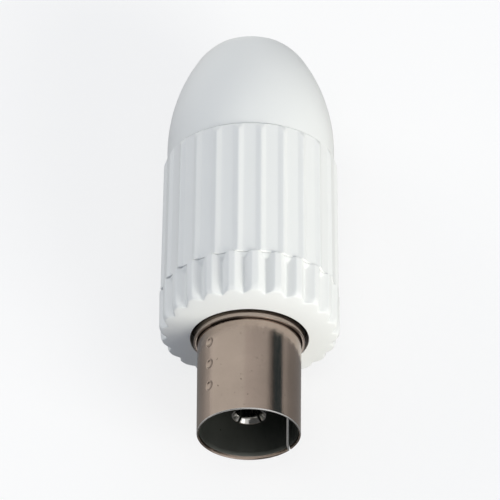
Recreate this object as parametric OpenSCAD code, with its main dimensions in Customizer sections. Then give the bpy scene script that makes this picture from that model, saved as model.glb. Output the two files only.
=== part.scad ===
// Female coaxial aerial connector for a 9.52 mm plug, lying on two teeth of its collar.
// Each piece is drawn upright with the mouth of the socket at height 0, then laid along +Y.

/* [Outer contact] */
// Bore of the rolled sleeve that takes the plug
socket_bore = 9.6; // [9.5:0.02:9.8]
// Thickness of the rolled sheet
sheet = 0.35; // [0.25:0.01:0.42]
// Length of sleeve in front of the collar
sleeve_reach = 10.84; // [9:0.1:13]
// Length of sleeve held inside the connector body
sleeve_hold = 6.16; // [4.5:0.1:8]
// Width of the open seam
seam_width = 0.35; // [0.2:0.05:0.8]
// Turn of the seam from the underside
seam_turn = -49; // [-90:0.1:90]
// Number of pressed dimples across from the seam
dimple_count = 3; // [1:1:3]
// Turn of the row of dimples from the underside
dimple_turn = 134.3; // [90:0.1:180]
// Distance of the first dimple from the mouth
dimple_first = 3.64; // [2.5:0.1:4]
// Spacing of the dimples
dimple_pitch = 2.46; // [1.6:0.02:2.6]
// Width of a dimple at the outside
dimple_width = 1; // [0.8:0.05:1.5]
// Depth of a dimple
dimple_depth = 0.15; // [0.1:0.01:0.3]
// Length of the lead-in at the mouth
lead_length = 0.6; // [0.3:0.1:1]
// Depth of the lead-in at the mouth
lead_depth = 0.18; // [0.05:0.01:0.2]

/* [Centre contact] */
// Bore that takes the centre pin of the plug
pin_bore = 2.4; // [2.2:0.05:2.6]
// Wall of the sprung front end
pin_wall = 0.52; // [0.4:0.02:0.6]
// Distance of its face behind the mouth
pin_recess = 2.1; // [1.5:0.1:3]
// Depth of the pin bore
pin_depth = 9.5; // [8:0.1:10.5]
// Length of the flare at the face
flare_length = 0.45; // [0.2:0.05:0.6]
// Depth of the flare at the face
flare_depth = 0.36; // [0.1:0.02:0.38]
// Number of spring slots
spring_slots = 4; // [2:1:4]
// Turn of the first spring slot from the underside
spring_slot_turn = 44.3; // [0:0.1:90]
// Width of a spring slot
spring_slot_width = 0.3; // [0.2:0.05:0.4]
// Length of a spring slot
spring_slot_length = 6.4; // [4:0.1:8]
// Width of the flange that locks it in the insulator
flange_width = 0.6; // [0.4:0.05:0.9]
// Thickness of the flange
flange_thick = 1; // [0.6:0.1:1.4]
// Diameter of the stem behind the flange
stem_d = 3; // [2.6:0.1:3.4]
// Length of the stem behind the flange
stem_length = 5; // [4.2:0.1:6]
// Bore of the solder cup
cup_bore = 1.7; // [1.2:0.1:2]
// Depth of the solder cup
cup_depth = 3.4; // [2.5:0.1:3.8]
// Length of cup that is open at one side
cup_window = 2.4; // [1.5:0.1:2.4]

/* [Insulator] */
// Thickness of the disc inside the sleeve
disc_thick = 5; // [4:0.1:6]
// Diameter of the boss in front of the disc
boss_d = 5.6; // [4.6:0.1:7]
// Length of the boss
boss_length = 1; // [0.5:0.1:1.5]
// Thickness of disc in front of the flange
flange_cover = 3.6; // [2.6:0.1:3.8]
// Length of the spigot behind the disc
spigot_length = 1.2; // [0.6:0.1:1.4]

/* [Connector body] */
// Wall of the lip that shows round the sleeve
lip_wall = 0.62; // [0.45:0.01:0.7]
// Gap between the lip and the sleeve at the front
lip_gap = 0.08; // [0.05:0.01:0.2]
// Depth of that gap
lip_gap_depth = 1.2; // [0.8:0.1:2]
// Height of the lip in front of the collar
lip_proud = 0.54; // [0.3:0.02:0.8]
// Step in of the lip at the front, which leaves a groove inside the collar
lip_step = 0.33; // [0.2:0.01:0.34]
// Depth of that groove behind the front of the collar
lip_groove = 1.4; // [0.5:0.1:2]
// Rounding of the lip
lip_round = 0.1; // [0.05:0.01:0.1]
// Wall of the shoulder that stops the sleeve
shoulder_thick = 1.5; // [1.5:0.1:2.5]
// Width of the shoulder inside the sleeve
shoulder_width = 0.3; // [0.2:0.05:0.4]
// Bore of the cable end
cable_bore = 10.6; // [9.8:0.1:11]
// Root diameter of the screw thread
thread_root = 13.2; // [12.6:0.1:13.4]
// Depth of the screw thread
thread_depth = 0.45; // [0.3:0.05:0.5]
// Length of the threaded skirt
skirt_length = 8; // [7:0.1:9]
// Bevel at the end of the skirt
skirt_bevel = 0.5; // [0.2:0.1:0.6]

/* [Collar] */
// Diameter over the teeth
collar_d = 17.9; // [17.6:0.1:19]
// Length of the collar
collar_length = 5; // [4.4:0.1:6]
// Number of teeth
tooth_count = 24; // [18:2:28]
// Width of the land on a tooth
tooth_land = 0.65; // [0.4:0.05:0.9]
// Depth of the notches between the teeth
tooth_depth = 0.75; // [0.5:0.05:0.9]
// Step from the ends of the notches up to the cover
run_out_step = 0.08; // [0.05:0.01:0.2]
// Angle to the axis at which the notches run out at the cover
run_out_angle = 28; // [20:1:40]
// Radius of the rounded front
nose_radius = 12; // [6:0.1:14]
// Distance from the axis at which the front is foremost
nose_offset = 5; // [4.6:0.1:5.4]
// Rounding between the front and the teeth
nose_edge = 0.4; // [0.3:0.05:1.4]

/* [Rear cover] */
// Step in from the teeth of the collar to the cover between its ribs
cover_inset = 0.29; // [0.25:0.01:0.5]
// Draft of the ribbed part over its length
cover_draft = 0.23; // [0.1:0.01:0.3]
// Length of the ribbed part
ribbed_length = 14.85; // [13:0.1:17]
// Number of ribs
rib_count = 24; // [18:2:28]
// Width of a rib at its foot
rib_width = 1; // [0.8:0.05:1.3]
// Width of the land on a rib
rib_land = 0.16; // [0.1:0.02:0.3]
// Height of a rib
rib_height = 0.24; // [0.2:0.01:0.36]
// Length of the slope at the rear end of a rib
rib_slope = 0.6; // [0.3:0.1:1.2]
// Turn of the ribs from the notches of the collar
rib_turn = 11.2; // [0:0.1:15]
// Step from the ribbed part down to the dome
dome_step = 0.13; // [0.05:0.01:0.2]
// Straight length at the foot of the dome
dome_straight = 1.45; // [0.5:0.05:2]
// Height of the whole dome above its straight foot
dome_height = 12.7; // [12.4:0.1:14]
// Radius of the tip of the dome
dome_tip = 6.55; // [5.9:0.05:6.8]
// Bore of the cable entry
entry_bore = 7; // [6:0.1:7.4]
// Width of the flat rim round the cable entry
entry_rim = 0.6; // [0.4:0.05:0.8]
// Length of the cable entry bore
entry_length = 3.2; // [2.5:0.1:4]
// Bore behind the thread
cavity_bore = 13.2; // [12.8:0.1:13.4]
// Angle of the clamping cone to the axis
cone_angle = 20; // [18:0.5:24]

/* [Cable claw] */
// Sheet of the claw
claw_wall = 0.6; // [0.4:0.05:0.7]
// Diameter over the fingers
claw_d = 12; // [11.6:0.1:12.4]
// Thickness of the base ring
claw_base = 0.8; // [0.6:0.1:1.2]
// Width of the base ring
claw_base_width = 1.8; // [1.4:0.1:2]
// Length of the bent finger tips
claw_tip = 2.9; // [2:0.1:3.2]
// Number of fingers
finger_count = 6; // [4:1:8]
// Width of the slots between the fingers
finger_slot = 1.6; // [1:0.1:2.2]
// Length of base below the slots
finger_root = 1.6; // [1.2:0.1:2.4]

/* [Clearances] */
// Clearance between pieces that are pressed together
press_gap = 0.02; // [0.01:0.01:0.03]
// Clearance between faces that meet
face_gap = 0.05; // [0.02:0.01:0.1]
// Clearance round the screw thread
thread_gap = 0.12; // [0.1:0.01:0.2]
// Clearance between the claw and the clamping cone
cone_gap = 0.2; // [0.15:0.01:0.3]

/* [Hidden] */
$fn = 160;
plastic = [0.93, 0.935, 0.92];
nickel = [0.62, 0.57, 0.52];
resin = [0.2, 0.2, 0.21];
// Overshoot of every cut
cut = 1;
// Turn of the underside, once the part is laid down
underside = 90;

// Outer contact
sleeve_in = socket_bore / 2;
sleeve_out = sleeve_in + sheet;
sleeve_end = sleeve_reach + sleeve_hold;
dimple_ball = (pow(dimple_width / 2, 2) + pow(dimple_depth, 2)) / (2 * dimple_depth);

// Insulator
disc_rear = sleeve_end;
disc_front = disc_rear - disc_thick;
flange_seat = disc_front + flange_cover;

// Centre contact
pin_in = pin_bore / 2;
pin_out = pin_in + pin_wall;
flange_front = flange_seat + face_gap;
flange_rear = flange_front + flange_thick;
stem_end = flange_rear + stem_length;
flange_out = pin_out + flange_width;

// Connector body
lip_in = sleeve_out + lip_gap;
lip_out = lip_in + lip_wall;
lip_nose = lip_out - lip_step;
lip_front = sleeve_reach - lip_proud;
groove_rear = sleeve_reach + lip_groove;
body_seat = sleeve_reach + collar_length + face_gap;
skirt_end = body_seat + skirt_length;
shoulder_front = sleeve_end + face_gap;
shoulder_rear = shoulder_front + shoulder_thick;
shoulder_in = sleeve_in - shoulder_width;
thread_out = thread_root / 2 + thread_depth;

// Collar
collar_out = collar_d / 2;
collar_in = lip_out + press_gap;
collar_rear = sleeve_reach + collar_length;
tooth_pitch = 360 / tooth_count;
notch_half = tooth_pitch / 2 - asin(tooth_land / 2 / collar_out);
notch_floor = [collar_out - tooth_depth, 0];
notch_edge = collar_out * [cos(notch_half), sin(notch_half)];
nose_centre = sleeve_reach + nose_radius;
edge_centre = [collar_out - nose_edge,
    nose_centre - sqrt(pow(nose_radius - nose_edge, 2) - pow(collar_out - nose_edge - nose_offset, 2))];
edge_join = nose_offset + (edge_centre[0] - nose_offset) * nose_radius / (nose_radius - nose_edge);

// Rear cover
cover_front = collar_rear + face_gap;
ribbed_end = cover_front + ribbed_length;
cover_front_r = collar_out - cover_inset;
run_out_r = cover_front_r - run_out_step;
run_out_foot = notch_floor[0] - (run_out_r - notch_floor[0]) / 2;
cover_rear_r = cover_front_r - cover_draft;
rib_lean = atan(cover_draft / ribbed_length);
rib_splay = (rib_width - rib_land) / 2 / rib_height;
dome_r = cover_rear_r - dome_step;
dome_foot = ribbed_end + dome_straight;
tip_centre = dome_height - dome_tip;
side_radius = (pow(dome_r, 2) + pow(dome_height, 2) - 2 * dome_height * dome_tip)
    / (2 * (dome_r - dome_tip));
dome_join = tip_centre + dome_tip * tip_centre / (side_radius - dome_tip);
entry_r = entry_bore / 2;
rim_r = entry_r + entry_rim;
rim_height = tip_centre + sqrt(pow(dome_tip, 2) - pow(rim_r, 2));
cover_end = dome_foot + rim_height;
cavity_r = cavity_bore / 2;
thread_bore = thread_out + thread_gap;
thread_end = skirt_end + face_gap;
cone_rear = cover_end - entry_length;
cone_front = cone_rear - (cavity_r - entry_r) / tan(cone_angle);

// Cable claw
claw_front = skirt_end + face_gap;
claw_out = claw_d / 2;
claw_base_in = thread_root / 2 - skirt_bevel - claw_base_width;
claw_base_out = claw_base_in + claw_base_width;
claw_bend = cone_front + (cavity_r - claw_out) / tan(cone_angle) - cone_gap / sin(cone_angle);
claw_end = claw_bend + claw_tip;
tip_drop = claw_tip * tan(cone_angle);

// Place of the part on its resting surface
rest_height = max(collar_out * cos(notch_half), cover_front_r + rib_height);

// Turns a piece from upright to lying, with the mouth towards -Y
module lay() {
    translate([0, -cover_end / 2, rest_height]) rotate([-90, 0, 0]) children();
}

// Copies a child round the axis, counted from the underside
module round_axis(count, turn = 0) {
    for (i = [0 : count - 1]) rotate([0, 0, underside + turn + i * 360 / count]) children();
}

// Straight slot cut outward from the axis, at the +X side
module side_slot(width, from, to, reach) {
    translate([0, -width / 2, from]) cube([reach, width, to - from]);
}

// Rolled sheet sleeve with an open seam and a row of inward dimples
module outer_contact() {
    color(nickel) lay() difference() {
        union() {
            rotate_extrude() polygon([
                [sleeve_in + lead_depth, 0], [sleeve_out, 0], [sleeve_out, sleeve_end],
                [sleeve_in, sleeve_end], [sleeve_in, lead_length]]);
            intersection() {
                dimple_balls(dimple_ball + sheet);
                cylinder(h = sleeve_end, r = (sleeve_in + sleeve_out) / 2);
            }
        }
        dimple_balls(dimple_ball);
        rotate([0, 0, underside + seam_turn])
            side_slot(seam_width, -cut, sleeve_end + cut, sleeve_out + cut);
    }
}

// Row of balls that press the dimples in from outside
module dimple_balls(radius) {
    rotate([0, 0, underside + dimple_turn])
        for (i = [0 : dimple_count - 1])
            translate([sleeve_out + dimple_ball - dimple_depth, 0, dimple_first + i * dimple_pitch])
                sphere(radius);
}

// Turned socket for the centre pin, sprung at the front and a solder cup at the rear
module centre_contact() {
    stem_r = stem_d / 2;
    color(nickel) lay() difference() {
        rotate_extrude() polygon([
            [pin_in + flare_depth, pin_recess], [pin_out, pin_recess], [pin_out, flange_front],
            [flange_out, flange_front], [flange_out, flange_rear], [stem_r, flange_rear],
            [stem_r, stem_end], [0, stem_end], [0, pin_recess + pin_depth],
            [pin_in, pin_recess + pin_depth], [pin_in, pin_recess + flare_length]]);
        round_axis(spring_slots, spring_slot_turn)
            side_slot(spring_slot_width, pin_recess - cut, pin_recess + spring_slot_length, pin_out + cut);
        translate([0, 0, stem_end - cup_depth]) cylinder(h = cup_depth + cut, r = cup_bore / 2);
        rotate([0, 0, -underside])
            side_slot(cup_bore, stem_end - cup_window, stem_end + cut, stem_r + cut);
    }
}

// Moulded disc that centres one contact in the other
module insulator() {
    pin_hole = pin_out + press_gap;
    flange_hole = flange_out + press_gap;
    disc_r = sleeve_in - press_gap;
    spigot_r = shoulder_in - press_gap;
    color(resin) lay() rotate_extrude() polygon([
        [pin_hole, disc_front - boss_length], [boss_d / 2, disc_front - boss_length],
        [boss_d / 2, disc_front], [disc_r, disc_front], [disc_r, disc_rear], [spigot_r, disc_rear],
        [spigot_r, disc_rear + spigot_length], [flange_hole, disc_rear + spigot_length],
        [flange_hole, flange_seat], [pin_hole, flange_seat]]);
}

// Turned body: a lip round the sleeve, a shoulder that stops it and the threaded skirt
module connector_body() {
    hold_r = sleeve_out + press_gap;
    skirt_r = thread_root / 2;
    cable_r = cable_bore / 2;
    color(nickel) lay() rotate_extrude() {
        polygon([
            [lip_in, lip_front + lip_round], [lip_nose, lip_front + lip_round], [lip_nose, groove_rear],
            [lip_out, groove_rear], [lip_out, body_seat], [skirt_r, body_seat],
            [skirt_r, skirt_end - skirt_bevel], [skirt_r - skirt_bevel, skirt_end], [cable_r, skirt_end],
            [cable_r, shoulder_rear], [shoulder_in, shoulder_rear], [shoulder_in, shoulder_front],
            [hold_r, shoulder_front], [hold_r, lip_front + lip_gap_depth],
            [lip_in, lip_front + lip_gap_depth]]);
        translate([lip_in, lip_front]) square([lip_nose - lip_round - lip_in, lip_round]);
        intersection() {
            translate([lip_nose - lip_round, lip_front + lip_round]) circle(lip_round);
            translate([lip_nose - lip_round, lip_front]) square(lip_round);
        }
    }
}

// Moulded gripping collar: a rounded front, notched all round into teeth
module front_collar() {
    color(plastic) lay() difference() {
        rotate_extrude() collar_outline();
        difference() {
            round_axis(tooth_count) notch();
            rotate_extrude() polygon([
                [run_out_foot, collar_rear - (run_out_r - run_out_foot) / tan(run_out_angle)],
                [run_out_r, collar_rear], [run_out_r, collar_rear + 2 * cut],
                [run_out_foot, collar_rear + 2 * cut]]);
        }
    }
}

// Half section of the collar without its notches
module collar_outline() {
    intersection() {
        translate([nose_offset, nose_centre]) circle(nose_radius);
        translate([collar_in, 0]) square([edge_join - collar_in, collar_rear]);
    }
    intersection() {
        translate(edge_centre) circle(nose_edge);
        translate([edge_join, 0]) square([collar_out - edge_join, edge_centre[1]]);
    }
    translate([edge_join, edge_centre[1]])
        square([collar_out - edge_join, collar_rear - edge_centre[1]]);
}

// One notch between two teeth, straight along the axis
module notch() {
    flank = 1.6 * (notch_edge - notch_floor);
    translate([0, 0, sleeve_reach - cut]) linear_extrude(collar_length + 2 * cut)
        polygon([notch_floor, notch_floor + flank, notch_floor + [flank[0], -flank[1]]]);
}

// Sprung claw that grips the braid and the jacket of the cable
module cable_claw() {
    color(nickel) lay() difference() {
        rotate_extrude() polygon([
            [claw_base_in, claw_front], [claw_base_out, claw_front],
            [claw_base_out, claw_front + claw_base], [claw_out, claw_front + claw_base],
            [claw_out, claw_bend], [claw_out - tip_drop, claw_end],
            [claw_out - tip_drop - claw_wall, claw_end], [claw_out - claw_wall, claw_bend],
            [claw_out - claw_wall, claw_front + claw_base], [claw_base_in, claw_front + claw_base]]);
        round_axis(finger_count)
            side_slot(finger_slot, claw_front + claw_base + finger_root, claw_end + cut, claw_out + cut);
    }
}

// Moulded screw cover: a ribbed sleeve that runs into a dome with the cable entry at its tip
module rear_cover() {
    color(plastic) lay() difference() {
        union() {
            rotate_extrude() cover_outline();
            ribs();
        }
        rotate_extrude() polygon([
            [0, cover_front - cut], [thread_bore, cover_front - cut], [thread_bore, thread_end],
            [cavity_r, thread_end], [cavity_r, cone_front], [entry_r, cone_rear],
            [entry_r, cover_end + cut], [0, cover_end + cut]]);
    }
}

// Ribs of the cover, which all end in a slope at the dome
module ribs() {
    intersection() {
        round_axis(rib_count, rib_turn) rib();
        rotate_extrude() polygon([
            [thread_bore, cover_front], [cover_front_r + rib_height, cover_front],
            [cover_rear_r + rib_height, ribbed_end - rib_slope], [cover_rear_r, ribbed_end],
            [thread_bore, ribbed_end]]);
    }
}

// One rib, wedge-shaped across and rooted in the cover
module rib() {
    root = rib_height;
    root_half = rib_width / 2 + root * rib_splay;
    peak = rib_width / 2 / rib_splay;
    translate([cover_front_r, 0, cover_front]) rotate([0, -rib_lean, 0])
        translate([0, 0, -cut]) linear_extrude(ribbed_length + 2 * cut)
            polygon([[-root, -root_half], [peak, 0], [-root, root_half]]);
}

// Half section of the cover without its hollow
module cover_outline() {
    polygon([
        [0, cover_front], [cover_front_r, cover_front], [cover_rear_r, ribbed_end], [dome_r, ribbed_end],
        [dome_r, dome_foot], [0, dome_foot]]);
    translate([0, dome_foot]) {
        intersection() {
            translate([dome_r - side_radius, 0]) circle(side_radius);
            square([dome_r, dome_join]);
        }
        intersection() {
            translate([0, tip_centre]) circle(dome_tip);
            translate([0, dome_join]) square([dome_r, rim_height - dome_join]);
        }
    }
}

outer_contact();
centre_contact();
insulator();
connector_body();
front_collar();
cable_claw();
rear_cover();
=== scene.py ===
"""Looks of a female coaxial aerial connector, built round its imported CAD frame.

The connector lies along +Y with the mouth of its socket towards -Y. Sizes are in
millimetres. A height is measured along the axis from the mouth, and a turn is in
degrees round the axis, from the +X side by way of the underside.
"""

import logging
import math
from abc import ABC, abstractmethod
from dataclasses import dataclass, field
from enum import Enum, IntEnum
from typing import ClassVar, Sequence

import bmesh
import bpy
import numpy as np
from mathutils import Matrix, Vector


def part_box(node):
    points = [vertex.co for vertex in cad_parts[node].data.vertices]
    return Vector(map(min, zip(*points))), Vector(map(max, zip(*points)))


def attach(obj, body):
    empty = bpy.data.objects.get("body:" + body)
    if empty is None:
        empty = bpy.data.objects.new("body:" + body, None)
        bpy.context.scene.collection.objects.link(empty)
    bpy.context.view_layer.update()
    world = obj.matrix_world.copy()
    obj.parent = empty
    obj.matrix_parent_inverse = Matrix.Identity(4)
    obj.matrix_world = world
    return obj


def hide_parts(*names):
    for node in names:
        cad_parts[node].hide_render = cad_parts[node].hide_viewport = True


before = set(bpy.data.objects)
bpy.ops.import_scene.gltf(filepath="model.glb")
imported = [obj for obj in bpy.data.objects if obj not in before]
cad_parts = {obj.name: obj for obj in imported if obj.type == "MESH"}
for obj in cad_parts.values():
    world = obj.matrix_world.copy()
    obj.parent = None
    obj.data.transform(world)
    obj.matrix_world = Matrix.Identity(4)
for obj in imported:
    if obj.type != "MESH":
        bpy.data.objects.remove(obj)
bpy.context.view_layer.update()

Colour = tuple[float, float, float]
Socket = bpy.types.NodeSocket
MM = 0.001
FULL_TURN = 360.0
HALF_TURN = 180.0
# Half angle in degrees beyond which a corner counts as straight
STRAIGHT = 89.0
# Largest share of an edge that one rounding takes up
EDGE_SHARE = 0.49
# Range that most of a noise field lies in
NOISE_RANGE = (0.3, 0.7)
# Colour that leaves another as it is
UNTINTED = (1.0, 1.0, 1.0)
# Places of a mix node's colour sockets: two inputs and the output
MIX_FIRST, MIX_SECOND, MIX_RESULT = 6, 7, 2
log = logging.getLogger("connector")


class Body(Enum):
    """Moving bodies of the connector."""

    FRONT = "front"
    GRIP = "grip"
    COVER = "cover"


class Slot(Enum):
    """Material slots of the connector's record."""

    WHITE_PLASTIC = "white_plastic"
    NICKEL_SHEET = "nickel_sheet"
    NICKEL_TURNED = "nickel_turned"
    DARK_RESIN = "dark_resin"


class Grain(Enum):
    """Direction of the fine lines in a metal surface."""

    ROLLED = "along the axis"
    TURNED = "round the axis"


class SheetFace(IntEnum):
    """Faces of the rolled sheet, by their place in the sleeve's list of materials."""

    OUTSIDE = 0
    INSIDE = 1
    # Sheared seam edges, and the upper half of the front rim, where the brighter finish is a painted
    # highlight
    CUT_AND_HIGHLIGHT = 2


@dataclass(frozen=True)
class Axis:
    """Line that every piece of the connector is turned on.

    Args:
        mouth: Place of the socket's mouth along Y.
        height: Height of the axis above the floor.
    """

    mouth: float
    height: float

    @classmethod
    def of_frame(cls) -> "Axis":
        """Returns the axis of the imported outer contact."""
        low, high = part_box("outer_contact")
        return cls(low.y / MM, (low.z + high.z) / 2 / MM)

    def reach(self, node: str) -> tuple[float, float]:
        """Returns the heights of a CAD node's front and rear ends."""
        low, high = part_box(node)
        return low.y / MM - self.mouth, high.y / MM - self.mouth

    def place(self, radius: np.ndarray, height: np.ndarray, turn: np.ndarray) -> np.ndarray:
        """Turns ring coordinates into points of the frame.

        Args:
            radius: Distances from the axis.
            height: Heights from the mouth.
            turn: Turns in degrees, of the same shape as the others.

        Returns:
            Points in metres, with the coordinates last.
        """
        angle = np.radians(turn)
        x = radius * np.cos(angle)
        z = self.height - radius * np.sin(angle)
        return np.stack([x, height + self.mouth, z], axis=-1) * MM


@dataclass(frozen=True)
class Corner:
    """Corner of a half section.

    Args:
        radius: Distance from the axis.
        height: Height from the mouth.
        rounding: Radius that the corner is rounded to.
    """

    radius: float
    height: float
    rounding: float = 0.0

    def vector(self) -> np.ndarray:
        """Returns the corner as a point of the half section."""
        return np.array([self.radius, self.height])


def rounded(
        before: np.ndarray, corner: Corner, after: np.ndarray, steps: int = 5) -> list[np.ndarray]:
    """Rounds one corner of a half section.

    Args:
        before: Point before the corner.
        corner: The corner and its rounding.
        after: Point after the corner.
        steps: Number of short edges along the rounding.

    Returns:
        Points along the rounding, or the corner alone where it is sharp.
    """
    tip = corner.vector()
    back, ahead = before - tip, after - tip
    back_length, ahead_length = np.linalg.norm(back), np.linalg.norm(ahead)
    back, ahead = back / back_length, ahead / ahead_length
    half_angle = math.acos(float(np.clip(back @ ahead, -1, 1))) / 2
    if corner.rounding <= 0 or half_angle > math.radians(STRAIGHT):
        return [tip]
    longest = EDGE_SHARE * min(back_length, ahead_length)
    trim = min(corner.rounding / math.tan(half_angle), longest)
    radius = trim * math.tan(half_angle)
    middle = back + ahead
    centre = tip + middle / np.linalg.norm(middle) * radius / math.sin(half_angle)
    first, last = tip + back * trim - centre, tip + ahead * trim - centre
    sweep = math.atan2(first[0] * last[1] - first[1] * last[0], float(first @ last))
    points = []
    for step in range(steps + 1):
        angle = sweep * step / steps
        cosine, sine = math.cos(angle), math.sin(angle)
        turned = [first[0] * cosine - first[1] * sine, first[0] * sine + first[1] * cosine]
        points.append(centre + turned)
    return points


def outline(corners: Sequence[Corner], step: float) -> np.ndarray:
    """Draws an open half section with rounded corners.

    Args:
        corners: Corners in order; the first and last stay sharp.
        step: Longest edge along the straight runs.

    Returns:
        Points of radius and height, one row each.
    """
    points = [corners[0].vector()]
    for before, corner, after in zip(corners, corners[1:], corners[2:]):
        points += rounded(before.vector(), corner, after.vector())
    points.append(corners[-1].vector())
    dense = [points[0]]
    for start, end in zip(points, points[1:]):
        count = max(1, math.ceil(np.linalg.norm(end - start) / step))
        dense += [start + (end - start) * (i + 1) / count for i in range(count)]
    return np.array(dense)


def arc(centre: tuple[float, float], radius: float, start: float, end: float, count: int) -> list[Corner]:
    """Draws an arc of a half section.

    Args:
        centre: Radius and height of the arc's centre.
        radius: Radius of the arc.
        start: Angle of its first point, from the outward direction towards the rear.
        end: Angle of its last point.
        count: Number of points.

    Returns:
        Corners along the arc, both ends included.
    """
    angles = np.radians(np.linspace(start, end, count))
    return [Corner(centre[0] + radius * math.cos(a), centre[1] + radius * math.sin(a)) for a in angles]


def smooth_min(a: np.ndarray, b: np.ndarray, blend: float) -> np.ndarray:
    """Returns the lesser of two fields, blended softly where they cross."""
    return 0.5 * (a + b - np.sqrt((a - b) ** 2 + 4 * blend**2))


def smooth_max(a: np.ndarray, b: np.ndarray, blend: float) -> np.ndarray:
    """Returns the greater of two fields, blended softly where they cross."""
    return -smooth_min(-a, -b, blend)


def smooth_step(value: np.ndarray) -> np.ndarray:
    """Returns a soft rise from 0 to 1 as the value goes from 0 to 1."""
    t = np.clip(value, 0, 1)
    return t * t * (3 - 2 * t)


def repeated_turns(count: int, first: float, offsets: Sequence[float]) -> np.ndarray:
    """Repeats a set of turns round the axis.

    Args:
        count: Number of repeats in a full turn.
        first: Turn of the first repeat.
        offsets: Rising turns of one repeat, relative to its middle.

    Returns:
        All turns, rising.
    """
    starts = first + np.arange(count) * FULL_TURN / count
    return (starts[:, None] + np.asarray(offsets)[None, :]).ravel()


def mirrored(parts: Sequence[float], unit: float) -> np.ndarray:
    """Returns rising multiples of a unit on both sides of 0, with 0 itself."""
    positive = np.asarray(parts) * unit
    return np.concatenate([-positive[::-1], [0.0], positive])


@dataclass(frozen=True)
class Thread:
    """Right-hand screw thread, as a change of radius.

    Args:
        depth: Height of the crest above the root.
        pitch: Travel in one turn.
        front: Height at which it starts.
        rear: Height at which it ends.
        fade: Length over which it runs out at either end.
        steepness: Rise of a flank over one pitch, in depths.
        root: Share of the rise that the flat root takes up.
    """

    depth: float
    pitch: float
    front: float
    rear: float
    fade: float = 0.6
    steepness: float = 2.6
    root: float = 0.15

    def rise(self, height: np.ndarray, turn: np.ndarray) -> np.ndarray:
        """Works out the rise above the root.

        Args:
            height: Heights from the mouth.
            turn: Turns in degrees, in a form that goes with the heights.

        Returns:
            The rise at each height and turn.
        """
        phase = (height / self.pitch - turn / FULL_TURN) % 1.0
        from_root = 0.5 - np.abs(phase - 0.5)
        flank = smooth_step(self.steepness * from_root - self.root)
        start = smooth_step((height - self.front) / self.fade)
        end = smooth_step((self.rear - height) / self.fade)
        return self.depth * flank * (start * end)


def placed(name: str, data: bpy.types.ID) -> bpy.types.Object:
    """Puts a new object in the scene.

    Args:
        name: Name of the object.
        data: Mesh, lamp or camera that it shows.

    Returns:
        The new object.
    """
    made = bpy.data.objects.new(name, data)
    bpy.context.scene.collection.objects.link(made)
    return made


@dataclass
class RingMesh:
    """Mesh made of rings of points round the axis.

    Args:
        axis: Axis that the rings lie round.
        vertices: Points collected so far, in metres.
        faces: Faces collected so far.
    """

    axis: Axis
    vertices: list[np.ndarray] = field(default_factory=list)
    faces: list[np.ndarray] = field(default_factory=list)

    def add(self, radius: np.ndarray, height: np.ndarray, turn: np.ndarray, full: bool = True) -> None:
        """Adds a closed surface from a grid of ring coordinates.

        Args:
            radius: Distances from the axis, by point of the half section and then by turn.
            height: Heights from the mouth, in the same form.
            turn: Turns in degrees, in the same form.
            full: Whether the rings go all the way round; if not, the two ends are closed, and
                the half section runs out along one side and back along the other.
        """
        radius, height, turn = np.broadcast_arrays(radius, height, turn)
        stations, turns = radius.shape
        first = sum(len(v) for v in self.vertices)
        self.vertices.append(self.axis.place(radius, height, turn).reshape(-1, 3))
        grid = first + np.arange(stations * turns).reshape(stations, turns)
        ahead = np.roll(grid, -1, axis=0)
        beside, across = np.roll(grid, -1, axis=1), np.roll(ahead, -1, axis=1)
        quads = np.stack([grid, beside, across, ahead], axis=-1)
        if full:
            self.faces.append(quads.reshape(-1, 4))
            return
        self.faces.append(quads[:, :-1].reshape(-1, 4))
        half = stations // 2
        for column in (0, turns - 1):
            side, other = grid[:half, column], grid[::-1, column][:half]
            self.faces.append(np.stack([side[:-1], side[1:], other[1:], other[:-1]], axis=-1))

    def turned(self, section: np.ndarray, turns: np.ndarray) -> None:
        """Adds a plain turned surface.

        Args:
            section: Closed half section, as rows of radius and height.
            turns: Turns in degrees round the axis.
        """
        self.add(section[:, :1], section[:, 1:], turns[None, :])

    def slotted(self, section: np.ndarray, middle: float, sweep: float, slot: float, steps: int) -> None:
        """Adds a turned surface that stops at the straight side of a slot at either end.

        Args:
            section: Closed half section that runs out and back.
            middle: Turn of the middle of the piece.
            sweep: Turns between the middles of the two slots.
            slot: Width of a slot.
            steps: Number of columns.
        """
        share = np.linspace(-1, 1, steps)[None, :]
        edge = np.degrees(np.arcsin(np.clip(slot / 2 / section[:, :1], -1, 1)))
        self.add(section[:, :1], section[:, 1:], middle + share * (sweep / 2 - edge), full=False)

    def finish(self, name: str, sharp: float = 42.0) -> bpy.types.Object:
        """Makes the object.

        Args:
            name: Name of the object.
            sharp: Angle in degrees beyond which an edge stays sharp.

        Returns:
            The new mesh object, in the scene.
        """
        mesh = bpy.data.meshes.new(name)
        mesh.from_pydata(np.vstack(self.vertices).tolist(), [], np.vstack(self.faces).tolist())
        shape = bmesh.new()
        shape.from_mesh(mesh)
        bmesh.ops.recalc_face_normals(shape, faces=shape.faces)
        shape.to_mesh(mesh)
        shape.free()
        mesh.shade_smooth()
        mesh.set_sharp_from_angle(angle=math.radians(sharp))
        return placed(name, mesh)


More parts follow.
